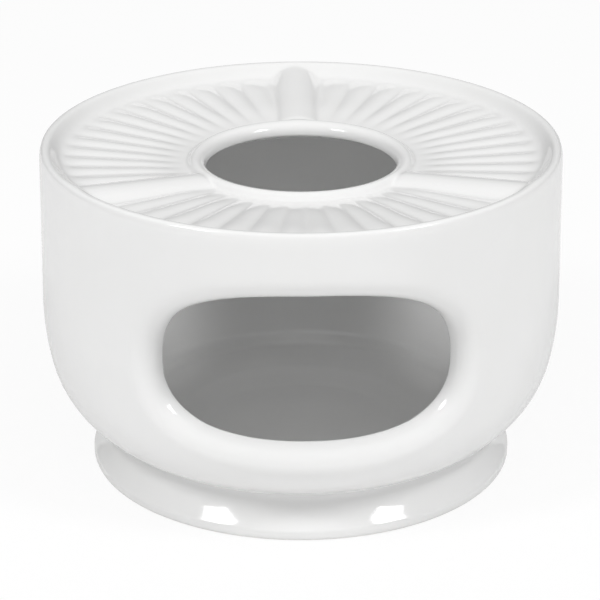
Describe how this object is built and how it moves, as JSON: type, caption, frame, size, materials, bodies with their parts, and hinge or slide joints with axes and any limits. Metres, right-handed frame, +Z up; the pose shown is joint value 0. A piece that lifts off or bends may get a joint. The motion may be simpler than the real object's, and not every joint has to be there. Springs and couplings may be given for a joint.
{
  "type": "teapot warmer",
  "caption": "Round glazed porcelain warmer on a flared foot: a tealight goes in at the wide front opening and heats a teapot on raised rests through the vent of the reeded top.",
  "frame": {"origin": "centre of the foot ring, on the surface that the warmer stands on", "axes": "+Z up along the axis that the body is turned about; -Y out through the middle of the front opening; +X to the right of someone who looks into the opening"},
  "size_m": [0.1403, 0.1399, 0.0903],
  "materials": {
    "white_glaze": "glossy white glaze over white porcelain, unglazed on the foot ring's edge"
  },
  "bodies": {
    "root": {"warmer_body": "white_glaze"}
  },
  "joints": []
}
